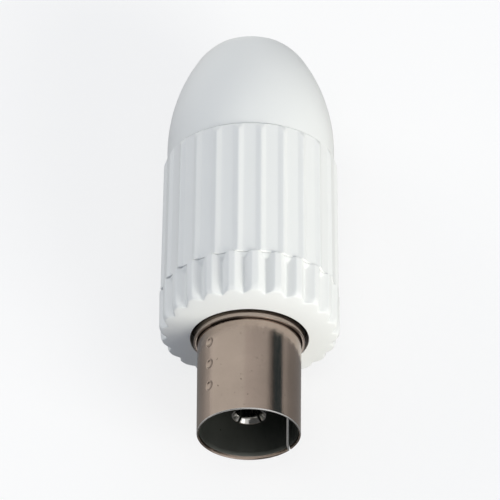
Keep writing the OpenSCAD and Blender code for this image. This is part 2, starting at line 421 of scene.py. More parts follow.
class Nodes:
    """Node tree, with short calls to add and join nodes."""

    def __init__(self, tree: bpy.types.NodeTree) -> None:
        """Takes hold of the tree that nodes are added to."""
        self.tree = tree

    def add(self, kind: str, **settings: object) -> bpy.types.Node:
        """Adds a node.

        Args:
            kind: Blender's name of the node type, without its prefix.
            **settings: Input sockets by name with spaces as underscores, or plain properties.

        Returns:
            The new node.
        """
        node = self.tree.nodes.new("ShaderNode" + kind)
        for key, value in settings.items():
            socket = node.inputs.get(key.replace("_", " "))
            if socket is not None:
                socket.default_value = value
            else:
                setattr(node, key, value)
        return node

    def join(self, source: Socket, target: Socket) -> None:
        """Links an output to an input."""
        self.tree.links.new(source, target)

    def background_rays(self) -> Socket:
        """Adds up the rays that see the background.

        Returns:
            A value of 1 for camera, glossy and transmission rays.
        """
        rays = self.add("LightPath")
        total = rays.outputs["Is Camera Ray"]
        for name in ("Is Glossy Ray", "Is Transmission Ray"):
            node = self.add("Math", operation="ADD", use_clamp=True)
            self.join(total, node.inputs[0])
            self.join(rays.outputs[name], node.inputs[1])
            total = node.outputs["Value"]
        return total


@dataclass(frozen=True)
class Relief:
    """Fine relief of a surface, drawn from a noise field.

    Args:
        scale: Scale of the field, per metre.
        detail: Number of finer layers in it.
        depth: Real depth of the relief, in millimetres.
        strength: Share of the relief that shows.
    """

    scale: float
    detail: float
    depth: float
    strength: float


class Shading(Nodes):
    """Node tree of one material with one surface shader."""

    def __init__(self, name: str) -> None:
        """Starts the material.

        Args:
            name: Name of the material.
        """
        self.material = bpy.data.materials.new(name)
        self.material.use_nodes = True
        super().__init__(self.material.node_tree)
        self.surface = self.tree.nodes["Principled BSDF"]

    def set(self, **values: object) -> None:
        """Sets constant inputs of the surface shader by name."""
        for key, value in values.items():
            self.surface.inputs[key.replace("_", " ")].default_value = value

    def noise(self, vector: Socket, scale: float, detail: float = 3.0) -> Socket:
        """Adds a noise field.

        Args:
            vector: Coordinates that it is drawn at.
            scale: Scale of the field, per metre.
            detail: Number of finer layers in it.

        Returns:
            The value of the field.
        """
        node = self.add("TexNoise", Scale=scale, Detail=detail)
        self.join(vector, node.inputs["Vector"])
        return node.outputs["Fac"]

    def ramp(self, value: Socket, stops: Sequence[tuple[float, Sequence[float]]]) -> Socket:
        """Adds a colour ramp.

        Args:
            value: Field that drives the ramp.
            stops: Places and colours along it.

        Returns:
            The colour output.
        """
        node = self.add("ValToRGB")
        elements = node.color_ramp.elements
        while len(elements) < len(stops):
            elements.new(0.5)
        for element, (place, colour) in zip(elements, stops):
            element.position = place
            element.color = (*colour, 1.0)
        self.join(value, node.inputs["Fac"])
        return node.outputs["Color"]

    def spread(self, value: Socket, low: float, high: float) -> Socket:
        """Spreads the middle of a noise field over a range.

        Args:
            value: The noise field.
            low: Value for the low end of the field.
            high: Value for its high end.

        Returns:
            The spread field.
        """
        least, most = NOISE_RANGE
        node = self.add("MapRange", From_Min=least, From_Max=most, To_Min=low, To_Max=high)
        self.join(value, node.inputs["Value"])
        return node.outputs["Result"]

    def multiplied(self, a: Socket, b: Socket) -> Socket:
        """Multiplies two colours.

        Args:
            a: First colour.
            b: Second colour.

        Returns:
            Their product.
        """
        node = self.add("Mix", data_type="RGBA", blend_type="MULTIPLY")
        node.inputs["Factor"].default_value = 1.0
        self.join(a, node.inputs[MIX_FIRST])
        self.join(b, node.inputs[MIX_SECOND])
        return node.outputs[MIX_RESULT]

    def bump(self, height: Socket, depth: float, strength: float) -> None:
        """Gives the surface a fine relief.

        Args:
            height: Field of heights.
            depth: Real depth of the relief, in millimetres.
            strength: Share of the relief that shows.
        """
        node = self.add("Bump", Strength=strength, Distance=depth * MM)
        self.join(height, node.inputs["Height"])
        if self.surface.inputs["Normal"].is_linked:
            self.join(self.surface.inputs["Normal"].links[0].from_socket, node.inputs["Normal"])
        self.join(node.outputs["Normal"], self.surface.inputs["Normal"])

    def relief(self, place: Socket, relief: Relief) -> None:
        """Gives the surface a relief that is drawn from noise at the given coordinates."""
        self.bump(self.noise(place, relief.scale, relief.detail), relief.depth, relief.strength)

    def vector(self, operation: str, source: Socket,
               constant: Sequence[float] = (0.0, 0.0, 0.0)) -> bpy.types.Node:
        """Adds a calculation with vectors.

        Args:
            operation: Blender's name of the calculation.
            source: Field that goes into it.
            constant: Second vector, where it takes one.

        Returns:
            The new node.
        """
        node = self.add("VectorMath", operation=operation)
        node.inputs[1].default_value = constant
        self.join(source, node.inputs[0])
        return node

    def stretched(self, source: Socket, scale: Sequence[float]) -> Socket:
        """Stretches coordinates.

        Args:
            source: The coordinates.
            scale: Factor along each axis.

        Returns:
            The stretched coordinates.
        """
        node = self.add("Mapping", Scale=scale)
        self.join(source, node.inputs["Vector"])
        return node.outputs["Vector"]


def tinted(colour: Sequence[float], share: float) -> Colour:
    """Returns a colour times a share."""
    return tuple(min(1.0, c * share) for c in colour)


@dataclass(frozen=True)
class Finish(ABC):
    """Finish of a piece.

    Args:
        name: Name of the material.
        slot: Material slot of the record; not used.
        colour: Base colour.
        roughness: Lowest and highest roughness.
    """

    name: str
    slot: Slot
    colour: Colour
    roughness: tuple[float, float]

    @abstractmethod
    def material(self, axis: Axis) -> bpy.types.Material:
        """Makes the material.

        Args:
            axis: Axis of the connector.

        Returns:
            The new material.
        """


@dataclass(frozen=True)
class MouldedPlastic(Finish):
    """Satin moulded plastic with a fine grain and painted shade in its hollows.

    Args:
        painted_hollow_shade: Share of the colour that is left in the deepest hollows, as painted shade.
    """

    painted_hollow_shade: float
    cloud_scale: ClassVar[float] = 160.0
    cloud_tone: ClassVar[float] = 0.985
    deep: ClassVar[float] = 0.40
    shallow: ClassVar[float] = 0.485
    sheen_scale: ClassVar[float] = 900.0
    waves: ClassVar[Relief] = Relief(420.0, 2.0, 0.03, 0.12)
    pores: ClassVar[Relief] = Relief(5200.0, 4.0, 0.006, 0.35)

    def material(self, axis: Axis) -> bpy.types.Material:
        """Makes the material, the same all round.

        Args:
            axis: Axis of the connector, which moulded plastic has no use for.

        Returns:
            The new material.
        """
        shading = Shading(self.name)
        place = shading.add("TexCoord").outputs["Object"]
        cloud = shading.noise(place, self.cloud_scale)
        shades = tinted(self.colour, self.cloud_tone), self.colour
        tone = shading.ramp(cloud, list(zip(NOISE_RANGE, shades)))
        # Painted shade: the colour darkens where the surface is hollow, found by pointiness
        hollow = shading.add("NewGeometry").outputs["Pointiness"]
        painted_hollow_shade = shading.ramp(hollow, [(self.deep, (self.painted_hollow_shade,) * 3), (self.shallow, UNTINTED)])
        shading.join(shading.multiplied(tone, painted_hollow_shade), shading.surface.inputs["Base Color"])
        sheen = shading.noise(place, self.sheen_scale)
        shading.join(shading.spread(sheen, *self.roughness), shading.surface.inputs["Roughness"])
        shading.relief(place, self.waves)
        shading.relief(place, self.pores)
        return shading.material


@dataclass(frozen=True)
class NickelPlate(Finish):
    """Nickel plating, slightly tarnished, with the lines of its making.

    Args:
        grain: Direction of the fine lines.
        painted_gap_shade: Share of the colour that is left in narrow gaps, as painted shade.
        bare: Share of the surface that is bare metal, under a dull film elsewhere.
    """

    grain: Grain
    painted_gap_shade: float = 1.0
    bare: float = 1.0
    clouds: ClassVar[Relief] = Relief(240.0, 5.0, 0.03, 0.05)
    tarnish: ClassVar[tuple[tuple[float, float], ...]] = ((0.32, 0.90), (0.68, 1.05))
    speck_scale: ClassVar[float] = 2600.0
    speck_detail: ClassVar[float] = 2.0
    speck_tone: ClassVar[Colour] = (0.55, 0.53, 0.50)
    speck_edges: ClassVar[tuple[float, float]] = (0.24, 0.31)
    gap_reach: ClassVar[float] = 0.7
    gap_edges: ClassVar[tuple[float, float]] = (0.25, 0.55)
    lines: ClassVar[Relief] = Relief(1.0, 3.0, 0.004, 0.30)
    rolled_scale: ClassVar[tuple[float, ...]] = (9000.0, 350.0, 9000.0)
    turned_scale: ClassVar[tuple[float, ...]] = (14000.0, 14000.0, 1.0)
    pores: ClassVar[Relief] = Relief(4500.0, 2.0, 0.01, 0.5)

    def material(self, axis: Axis) -> bpy.types.Material:
        """Makes the material, with lines along the axis or round it.

        Args:
            axis: Axis of the connector.

        Returns:
            The new material.
        """
        shading = Shading(self.name)
        shading.set(Metallic=self.bare)
        place = shading.add("TexCoord").outputs["Object"]
        cloud = shading.noise(place, self.clouds.scale, self.clouds.detail)
        tone = shading.ramp(cloud, [(at, tinted(self.colour, share)) for at, share in self.tarnish])
        speck = shading.noise(place, self.speck_scale, self.speck_detail)
        dots = shading.ramp(speck, list(zip(self.speck_edges, (self.speck_tone, UNTINTED))))
        tone = shading.multiplied(tone, dots)
        # Painted shade: the colour darkens in narrow gaps, found by ambient occlusion
        if self.painted_gap_shade < 1:
            gap = shading.add("AmbientOcclusion", Distance=self.gap_reach * MM).outputs["AO"]
            gap_shade_tone = shading.ramp(gap, list(zip(self.gap_edges, ((self.painted_gap_shade,) * 3, UNTINTED))))
            tone = shading.multiplied(tone, gap_shade_tone)
        shading.join(tone, shading.surface.inputs["Base Color"])
        along = self._lines(shading, place, axis)
        line = shading.noise(along, self.lines.scale, self.lines.detail)
        shading.join(shading.spread(line, *self.roughness), shading.surface.inputs["Roughness"])
        shading.bump(line, self.lines.depth, self.lines.strength)
        shading.bump(cloud, self.clouds.depth, self.clouds.strength)
        shading.relief(place, self.pores)
        return shading.material

    def _lines(self, shading: Shading, place: Socket, axis: Axis) -> Socket:
        """Stretches the coordinates along the lines.

        Args:
            shading: Material that is being made.
            place: Coordinates of the object.
            axis: Axis that turned lines run round.

        Returns:
            The stretched coordinates.
        """
        if self.grain is Grain.ROLLED:
            return shading.stretched(place, self.rolled_scale)
        moved = shading.vector("SUBTRACT", place, (0.0, 0.0, axis.height * MM))
        flat = shading.vector("MULTIPLY", moved.outputs["Vector"], (1.0, 0.0, 1.0))
        radius = shading.vector("LENGTH", flat.outputs["Vector"])
        parts = shading.add("SeparateXYZ")
        shading.join(place, parts.inputs["Vector"])
        ring = shading.add("CombineXYZ")
        shading.join(radius.outputs["Value"], ring.inputs["X"])
        shading.join(parts.outputs["Y"], ring.inputs["Y"])
        return shading.stretched(ring.outputs["Vector"], self.turned_scale)


# The last value of each moulded plastic is the share of colour left in hollows as painted shade
WHITE = MouldedPlastic("satin_white", Slot.WHITE_PLASTIC, (0.84, 0.845, 0.825), (0.40, 0.52), 0.88)
RESIN = MouldedPlastic("matt_dark_resin", Slot.DARK_RESIN, (0.035, 0.035, 0.038), (0.55, 0.7), 0.7)
SHEET = NickelPlate("rolled_nickel", Slot.NICKEL_SHEET, (0.43, 0.345, 0.288), (0.13, 0.22), Grain.ROLLED)
# Brighter finish of the sheared seam edges; on the upper half of the front rim it is a painted highlight
SHEET_CUT_AND_HIGHLIGHT = NickelPlate(
    "sheared_nickel_and_rim_highlight", Slot.NICKEL_SHEET, (0.60, 0.59, 0.575), (0.22, 0.36), Grain.ROLLED)
SHEET_INSIDE = NickelPlate(
    "dull_nickel", Slot.NICKEL_SHEET, (0.21, 0.22, 0.20), (0.36, 0.5), Grain.ROLLED, bare=0.92)
# Turned nickel, with strong painted shade in its narrow gaps
TURNED = NickelPlate(
    "turned_nickel", Slot.NICKEL_TURNED, (0.42, 0.35, 0.30), (0.12, 0.24), Grain.TURNED, painted_gap_shade=0.05)
BRIGHT = NickelPlate("bright_nickel", Slot.NICKEL_TURNED, (0.60, 0.585, 0.56), (0.10, 0.20), Grain.TURNED)


@dataclass
class Wardrobe:
    """Materials of the connector, each made once.

    Args:
        axis: Axis of the connector.
        made: Materials made so far.
    """

    axis: Axis
    made: dict[Finish, bpy.types.Material] = field(default_factory=dict)

    def material(self, finish: Finish) -> bpy.types.Material:
        """Looks up the material of a finish, and makes it the first time.

        Args:
            finish: The finish.

        Returns:
            Its material.
        """
        if finish not in self.made:
            self.made[finish] = finish.material(self.axis)
        return self.made[finish]


@dataclass
class Piece(ABC):
    """One piece of the connector.

    Args:
        axis: Axis of the connector.
    """

    node: ClassVar[str]
    body: ClassVar[Body]
    finish: ClassVar[Finish]
    axis: Axis

    @abstractmethod
    def build(self) -> bpy.types.Object:
        """Returns the bare piece."""

    def dress(self, wardrobe: Wardrobe) -> bpy.types.Object:
        """Builds the piece in place of its CAD node, gives it its finish and sets it on its body.

        Args:
            wardrobe: Materials to choose from.

        Returns:
            The dressed piece.
        """
        piece = self.build()
        piece.data.materials.append(wardrobe.material(self.finish))
        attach(piece, self.body.value)
        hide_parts(self.node)
        log.info("%s: %d faces, %s", piece.name, len(piece.data.polygons), self.finish.name)
        return piece


@dataclass
class PlainPiece(Piece):
    """Piece deep inside the connector, for which the CAD solid itself is shown."""

    def build(self) -> bpy.types.Object:
        """Returns the CAD solid."""
        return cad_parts[self.node]

    def dress(self, wardrobe: Wardrobe) -> bpy.types.Object:
        """Gives the CAD solid its finish.

        Args:
            wardrobe: Materials to choose from.

        Returns:
            The CAD solid.
        """
        piece = self.build()
        piece.data.materials.clear()
        piece.data.materials.append(wardrobe.material(self.finish))
        log.info("%s: CAD solid, %s", self.node, self.finish.name)
        return piece


@dataclass
class RearCover(Piece):
    """Moulded screw cover: a ribbed sleeve that runs into a dome."""

    node: ClassVar[str] = "rear_cover"
    body: ClassVar[Body] = Body.COVER
    finish: ClassVar[Finish] = WHITE
    # Ribbed sleeve
    front_radius: float = 8.66
    rear_radius: float = 8.43
    ribbed_length: float = 14.85
    front_edge: float = 0.06
    rib_count: int = 24
    rib_first: float = 101.2
    rib_width: float = 1.0
    rib_land: float = 0.16
    rib_height: float = 0.24
    rib_slope: float = 0.6
    rib_crest: float = 0.09
    rib_fillet: float = 0.012
    # Dome and the groove at its foot
    dome_step: float = 0.13
    groove_width: float = 0.12
    groove_depth: float = 0.09
    dome_straight: float = 1.45
    dome_height: float = 12.7
    tip_radius: float = 6.55
    rim_edge: float = 0.28
    # Inside, from the cable entry to the thread
    entry_radius: float = 3.5
    entry_length: float = 3.2
    cavity_radius: float = 6.6
    cone_angle: float = 20.0
    thread_bore: float = 7.17
    thread_length: float = 8.05
    thread_depth: float = 0.36
    thread_pitch: float = 1.5
    thread_bevel: float = 0.45
    # Small roundings and blends
    groove_edge: float = 0.03
    groove_floor_edge: float = 0.02
    groove_front_lean: float = 0.01
    groove_rear_lean: float = 0.02
    dome_edge: float = 0.05
    slope_blend: float = 0.03
    entry_edge: float = 0.1
    cone_edge: float = 0.3
    cavity_edge: float = 0.08
    # Where the runs of the section start and end, and how fine the mesh is
    rim_depth: float = 0.6
    inside_start: float = 0.8
    bore_start: float = 0.05
    slope_reach: float = 1.5
    ribbed_step: float = 0.5
    slope_step: float = 0.06
    dome_ring_step: float = 0.8
    inside_step: float = 2.0
    side_points: int = 30
    nose_points: int = 14
    thread_rings: int = 9
    rib_columns: ClassVar[tuple[float, ...]] = (0.1, 0.2, 0.35, 0.6, 0.85, 0.95, 1.05, 1.2, 1.6)

    def build(self) -> bpy.types.Object:
        """Builds the cover.

        Returns:
            The cover as one closed mesh.
        """
        front, rear = self.axis.reach(self.node)
        ribbed_end = front + self.ribbed_length
        ribbed, dome, inside, bore = self._sections(front, rear, ribbed_end)
        rib_angle = math.degrees(self.rib_width / 2 / self.front_radius)
        turns = repeated_turns(self.rib_count, self.rib_first, mirrored(self.rib_columns, rib_angle))
        section = np.vstack([ribbed, dome, inside, bore])
        radius = np.repeat(section[:, :1], len(turns), axis=1)
        radius[: len(ribbed)] += self._relief(ribbed, front, ribbed_end, turns)
        thread = Thread(self.thread_depth, self.thread_pitch, front, front + self.thread_length)
        radius[-len(bore):] += thread.rise(bore[:, 1:], turns[None, :])
        mesh = RingMesh(self.axis)
        mesh.add(radius, section[:, 1:], turns[None, :])
        return mesh.finish("rear_cover_moulding")

    def _sections(self, front: float, rear: float, ribbed_end: float) -> tuple[np.ndarray, ...]:
        """Draws the half section in four runs.

        Args:
            front: Height of the front face.
            rear: Height of the rim at the tip.
            ribbed_end: Height at which the ribs end.

        Returns:
            The ribbed run, the dome, the inside and the threaded bore, in order round the section.
        """
        slope_length = self.slope_reach * self.rib_slope
        draft = (self.front_radius - self.rear_radius) / self.ribbed_length
        slope_start = Corner(self.rear_radius + slope_length * draft, ribbed_end - slope_length)
        ribbed = outline([
            Corner(self.thread_bore + self.thread_bevel, front),
            Corner(self.front_radius, front, self.front_edge),
            slope_start], self.ribbed_step)
        slope = outline([slope_start, Corner(self.rear_radius, ribbed_end)], self.slope_step)
        dome = self._dome(rear, ribbed_end)
        cone_rear = rear - self.entry_length
        cone_slope = math.tan(math.radians(self.cone_angle))
        cone_front = cone_rear - (self.cavity_radius - self.entry_radius) / cone_slope
        thread_end = front + self.thread_length
        inside = outline([
            Corner(self.entry_radius, rear - self.inside_start),
            Corner(self.entry_radius, cone_rear, self.entry_edge),
            Corner(self.cavity_radius, cone_front, self.cone_edge),
            Corner(self.cavity_radius, thread_end, self.cavity_edge),
            Corner(self.thread_bore, thread_end)], self.inside_step)
        bore = outline([
            Corner(self.thread_bore, thread_end - self.bore_start),
            Corner(self.thread_bore, front + self.thread_bevel)], self.thread_pitch / self.thread_rings)
        return np.vstack([ribbed, slope[1:-1]]), dome, inside, bore

    def _dome(self, rear: float, ribbed_end: float) -> np.ndarray:
        """Draws the dome, from the step at its foot to the cable entry.

        Args:
            rear: Height of the rim at the tip.
            ribbed_end: Height at which the ribs end.

        Returns:
            Points of radius and height.
        """
        dome_radius = self.rear_radius - self.dome_step
        foot = ribbed_end + self.dome_straight
        tip = self.dome_height - self.tip_radius
        # The arc of the side runs into the arc of the tip without a kink
        squares = dome_radius**2 + self.dome_height**2 - 2 * self.dome_height * self.tip_radius
        side_radius = squares / (2 * (dome_radius - self.tip_radius))
        join = math.degrees(math.atan2(tip, side_radius - self.tip_radius))
        rim = math.degrees(math.asin((rear - foot - tip) / self.tip_radius))
        side = arc((dome_radius - side_radius, foot), side_radius, 0, join, self.side_points)
        nose = arc((0, foot + tip), self.tip_radius, join, rim, self.nose_points)[1:]
        last = nose.pop()
        floor = dome_radius - self.groove_depth
        groove_end = ribbed_end + self.groove_width
        return outline([
            Corner(self.rear_radius, ribbed_end, self.groove_edge),
            Corner(floor, ribbed_end + self.groove_front_lean, self.groove_floor_edge),
            Corner(floor, groove_end, self.groove_edge),
            Corner(dome_radius, groove_end + self.groove_rear_lean, self.dome_edge), *side, *nose,
            Corner(last.radius, last.height, self.rim_edge),
            Corner(self.entry_radius, rear, self.rim_edge / 2),
            Corner(self.entry_radius, rear - self.rim_depth)], self.dome_ring_step)

    def _relief(
            self, section: np.ndarray, front: float, ribbed_end: float, turns: np.ndarray) -> np.ndarray:
        """Works out how far the ribs stand above the ribbed run, and the flats between them below it.

        Args:
            section: Points of the ribbed run.
            front: Height of the front face.
            ribbed_end: Height at which the ribs end.
            turns: Turns of the mesh's columns.

        Returns:
            The rise at each point and turn.
        """
        radius, height = section[:, :1], section[:, 1:]
        half_pitch = FULL_TURN / self.rib_count / 2
        offset = np.abs((turns - self.rib_first + half_pitch) % (2 * half_pitch) - half_pitch)[None, :]
        across = np.radians(offset) * radius
        steepness = 2 * self.rib_height / (self.rib_width - self.rib_land)
        wedge = self.rib_height - steepness * (np.sqrt(across**2 + self.rib_crest**2) - self.rib_crest)
        slope = self.rib_height * (ribbed_end - height) / self.rib_slope
        cut = smooth_min(wedge, slope, self.slope_blend)
        rise = smooth_max(cut, np.zeros_like(wedge), self.rib_fillet)
        flat_half = half_pitch - math.degrees(self.rib_width / 2 / self.front_radius)
        from_middle = np.minimum(half_pitch - offset, flat_half)
        flat = radius * (math.cos(math.radians(flat_half)) / np.cos(np.radians(from_middle)) - 1)
        return (rise + flat) * smooth_step((height - front) / self.front_edge)


@dataclass
class FrontCollar(Piece):
    """Moulded gripping collar: a rounded front, notched all round into teeth."""

    node: ClassVar[str] = "front_collar"
    body: ClassVar[Body] = Body.FRONT
    finish: ClassVar[Finish] = WHITE
    length: float = 5.0
    bore: float = 5.87
    outer_radius: float = 8.95
    tooth_count: int = 24
    notch_first: float = 90.0
    tooth_land: float = 0.65
    tooth_depth: float = 0.75
    valley: float = 0.12
    crest_blend: float = 0.025
    nose_blend: float = 0.02
    nose_soft: float = 0.13
    nose_reach: float = 1.15
    nose_radius: float = 12.0
    nose_offset: float = 5.0
    nose_edge: float = 0.4
    bore_edge: float = 0.06
    rear_edge: float = 0.05
    run_out: float = 1.4
    run_out_radius: float = 8.58
    # Where the section starts, and how fine the mesh is
    bore_start: float = 1.5
    edge_run: float = 0.3
    ring_step: float = 0.45
    nose_points: int = 34
    edge_points: int = 16
    run_out_rings: ClassVar[tuple[float, ...]] = (0.6, 0.5, 0.4, 0.3, 0.2, 0.1, 0.05)
    notch_columns: ClassVar[tuple[float, ...]] = (
        0.1, 0.2, 0.32, 0.46, 0.6, 0.74, 0.86, 0.94, 1.0, 1.06, 1.16, 1.3)

    def build(self) -> bpy.types.Object:
        """Builds the collar.

        Returns:
            The collar as one closed mesh.
        """
        _, rear = self.axis.reach(self.node)
        front = rear - self.length
        section = self._section(front, rear)
        half_pitch = FULL_TURN / self.tooth_count / 2
        notch_half = half_pitch - math.degrees(math.asin(self.tooth_land / 2 / self.outer_radius))
        columns = mirrored(self.notch_columns, notch_half)
        turns = repeated_turns(self.tooth_count, self.notch_first, columns)
        height = section[:, 1:]
        floor = self.run_out_radius - self.tooth_depth * smooth_step((rear - height) / self.run_out)
        teeth = smooth_max(self._teeth(turns, notch_half)[None, :], floor, self.crest_blend)
        at_nose = smooth_step((front + self.nose_reach - height) / self.nose_edge)
        blend = self.nose_blend + (self.nose_soft - self.nose_blend) * at_nose
        radius = smooth_min(section[:, :1], teeth, blend)
        # The bore and the inner part of the faces have no teeth
        plain = section[:, :1] < self.outer_radius - 2 * self.tooth_depth
        mesh = RingMesh(self.axis)
        mesh.add(np.where(plain, section[:, :1], radius), height, turns[None, :])
        return mesh.finish("front_collar_moulding")

    def _section(self, front: float, rear: float) -> np.ndarray:
        """Draws the closed half section without the notches.

        Args:
            front: Height at which the rounded front would be foremost.
            rear: Height of the rear face.

        Returns:
            Points of radius and height.
        """
        nose_centre = front + self.nose_radius
        span = self.nose_radius - self.nose_edge
        edge_radius = self.outer_radius - self.nose_edge
        edge_height = nose_centre - math.sqrt(span**2 - (edge_radius - self.nose_offset) ** 2)
        start = -math.degrees(math.acos((self.bore - self.nose_offset) / self.nose_radius))
        join = -math.degrees(math.acos((edge_radius - self.nose_offset) / span))
        nose = arc((self.nose_offset, nose_centre), self.nose_radius, start, join, self.nose_points)
        edge = arc((edge_radius, edge_height), self.nose_edge, join, 0, self.edge_points)[1:]
        first = nose.pop(0)
        run_out = [Corner(self.outer_radius, rear - share * self.run_out) for share in self.run_out_rings]
        return outline([
            Corner(self.bore, rear - self.bore_start), Corner(self.bore, first.height, self.bore_edge),
            *nose, *edge, Corner(self.outer_radius, edge_height + self.edge_run), *run_out,
            Corner(self.outer_radius, rear, self.rear_edge), Corner(self.bore, rear)], self.ring_step)

    def _teeth(self, turns: np.ndarray, notch_half: float) -> np.ndarray:
        """Works out the radius of the toothed surface.

        Args:
            turns: Turns of the mesh's columns.
            notch_half: Half the turn of a notch at the top of its flanks.

        Returns:
            The radius at each turn.
        """
        pitch = FULL_TURN / self.tooth_count
        offset = (turns - self.notch_first + pitch / 2) % pitch - pitch / 2
        half_width = self.outer_radius * math.radians(notch_half)
        slope = self.tooth_depth / half_width
        across = np.radians(offset) * self.outer_radius
        lift = slope * (math.hypot(half_width, self.valley) - half_width)
        flank = self.outer_radius - self.tooth_depth - lift + slope * np.sqrt(across**2 + self.valley**2)
        land = np.full_like(flank, self.outer_radius + self.crest_blend)
        return smooth_min(flank, land, self.crest_blend)


@dataclass
class OuterContact(Piece):
    """Rolled sheet sleeve with an open seam and a row of pressed dimples."""

    node: ClassVar[str] = "outer_contact"
    body: ClassVar[Body] = Body.FRONT
    finish: ClassVar[Finish] = SHEET
    sheet: float = 0.35
    outer_radius: float = 5.15
    lead_length: float = 0.6
    lead_depth: float = 0.18
    edge: float = 0.1
    seam_turn: float = 41.0
    seam_width: float = 0.35
    dimple_count: int = 3
    dimple_turn: float = 224.3
    dimple_first: float = 3.64
    dimple_pitch: float = 2.46
    dimple_width: float = 1.0
    dimple_depth: float = 0.18
    dimple_soft: float = 0.006
    dimple_limit: float = 1.5
    # How fine the mesh is at the dimples, in plain stretches, at the ends and at the seam
    dimple_reach: float = 0.75
    dimple_step: float = 0.075
    plain_ring: float = 1.6
    plain_gap: float = 0.4
    plain_step: float = 0.6
    wide_columns: int = 241
    fine_columns: int = 41
    sharp: float = 50.0
    end_rings: ClassVar[tuple[float, ...]] = (0.0, 0.15, 0.4, 0.7, 1.0, 1.6, 2.6)
    lead_rings: ClassVar[tuple[float, ...]] = (0.5, 1.0, 1.2)
    seam_columns: ClassVar[tuple[float, ...]] = (0.0, 0.3, 1.0)

    def build(self) -> bpy.types.Object:
        """Builds the sleeve and marks which finish each face gets.

        Returns:
            The sleeve as one closed mesh.
        """
        _, rear = self.axis.reach(self.node)
        heights = self._heights(rear)
        outer = np.stack([np.full_like(heights, self.outer_radius), heights], axis=-1)
        lead = np.maximum(0, 1 - heights / self.lead_length)
        inner = np.stack([self.outer_radius - self.sheet + self.lead_depth * lead, heights], axis=-1)
        ends = np.minimum(heights, rear - heights)
        bevel = self.edge - np.sqrt(np.maximum(0, self.edge**2 - np.maximum(0, self.edge - ends) ** 2))
        outer[:, 0] -= bevel
        inner[:, 0] += bevel / 2
        section = np.vstack([outer, inner[::-1]])
        turns = self._turns(section[:, :1])
        radius = section[:, :1] - self._dimples(section[:, 1:], turns)
        mesh = RingMesh(self.axis)
        mesh.add(radius, section[:, 1:], turns, full=False)
        sleeve = mesh.finish("outer_contact_sleeve", self.sharp)
        kinds = np.full((len(section), turns.shape[1] - 1), SheetFace.OUTSIDE, dtype=np.int32)
        kinds[len(outer):][inner[::-1, 1] > self.lead_length / 2] = SheetFace.INSIDE
        # Painted highlight: the upper half of the front rim's outer edge gets the brighter finish
        upper = np.sin(np.radians(turns[0, :-1])) < 0
        kinds[: len(outer)][np.outer(heights < self.edge, upper)] = SheetFace.CUT_AND_HIGHLIGHT
        seam = np.full(sum(len(faces) for faces in mesh.faces[1:]), SheetFace.CUT_AND_HIGHLIGHT, dtype=np.int32)
        kinds = np.concatenate([kinds.ravel(), seam])
        sleeve.data.polygons.foreach_set("material_index", kinds)
        return sleeve

    def dress(self, wardrobe: Wardrobe) -> bpy.types.Object:
        """Gives the sleeve its finish: duller inside, brighter at the cut edges and as a painted highlight
        on the upper front rim.

        Args:
            wardrobe: Materials to choose from.

        Returns:
            The dressed sleeve.
        """
        sleeve = super().dress(wardrobe)
        for finish in (SHEET_INSIDE, SHEET_CUT_AND_HIGHLIGHT):
            sleeve.data.materials.append(wardrobe.material(finish))
        return sleeve

    def _heights(self, rear: float) -> np.ndarray:
        """Spaces the rings, closer together at the dimples and the ends.

        Args:
            rear: Height of the rear end.

        Returns:
            The rising heights of the rings.
        """
        last = self.dimple_first + (self.dimple_count - 1) * self.dimple_pitch
        reach = self.dimple_reach * self.dimple_width
        ends = np.array(self.end_rings) * self.edge
        return np.unique(np.concatenate([
            ends, np.array(self.lead_rings) * self.lead_length, [self.plain_ring],
            np.arange(self.dimple_first - reach, last + reach, self.dimple_step),
            np.arange(last + reach + self.plain_gap, rear - self.plain_gap, self.plain_step), rear - ends]))

    def _turns(self, radius: np.ndarray) -> np.ndarray:
        """Spaces the columns from one side of the seam to the other.

        Args:
            radius: Radius of each ring, as a column.

        Returns:
            Turns of each ring's points.
        """
        wide = np.linspace(-1, 1, self.wide_columns)
        reach = math.degrees(self.dimple_reach * self.dimple_width / self.outer_radius)
        fine = np.linspace(-1, 1, self.fine_columns) * reach / HALF_TURN
        fine += (self.dimple_turn - self.seam_turn) / HALF_TURN - 1
        ends = 1 - np.array(self.seam_columns) * self.edge / (math.pi * self.outer_radius)
        share = np.unique(np.round(np.concatenate([wide, fine, ends, -ends]), 6))[None, :]
        edge = np.degrees(np.arcsin(self.seam_width / 2 / radius))
        return self.seam_turn + HALF_TURN + share * (HALF_TURN - edge)

    def _dimples(self, height: np.ndarray, turns: np.ndarray) -> np.ndarray:
        """Works out how deep the dimples press the sheet in.

        Args:
            height: Height of each ring, as a column.
            turns: Turns of the points.

        Returns:
            The depth at each point.
        """
        across = np.radians(turns - self.dimple_turn) * self.outer_radius
        depth = np.zeros_like(across)
        for index in range(self.dimple_count):
            along = height - self.dimple_first - index * self.dimple_pitch
            share = np.hypot(across, along) / (self.dimple_width / 2)
            bowl = np.clip(1 - share**3, -1, 1)
            soft = bowl + np.sqrt(bowl**2 + self.dimple_soft)
            depth += self.dimple_depth * 0.5 * soft * (share < self.dimple_limit)
        return depth


def resampled(points: np.ndarray, shares: np.ndarray) -> np.ndarray:
    """Finds points at given shares of a line's length.

    Args:
        points: Points of the line.
        shares: Rising shares of its length, from 0 to 1.

    Returns:
        One point for each share.
    """
    lengths = np.concatenate([[0], np.cumsum(np.linalg.norm(np.diff(points, axis=0), axis=1))])
    where = shares * lengths[-1]
    return np.stack([np.interp(where, lengths, points[:, i]) for i in range(2)], axis=-1)


def out_and_back(outside: np.ndarray, inside: np.ndarray, shares: np.ndarray) -> np.ndarray:
    """Returns a half section out along one line and back along another, at the same shares of each."""
    return np.vstack([resampled(outside, shares), resampled(inside, shares)[::-1]])


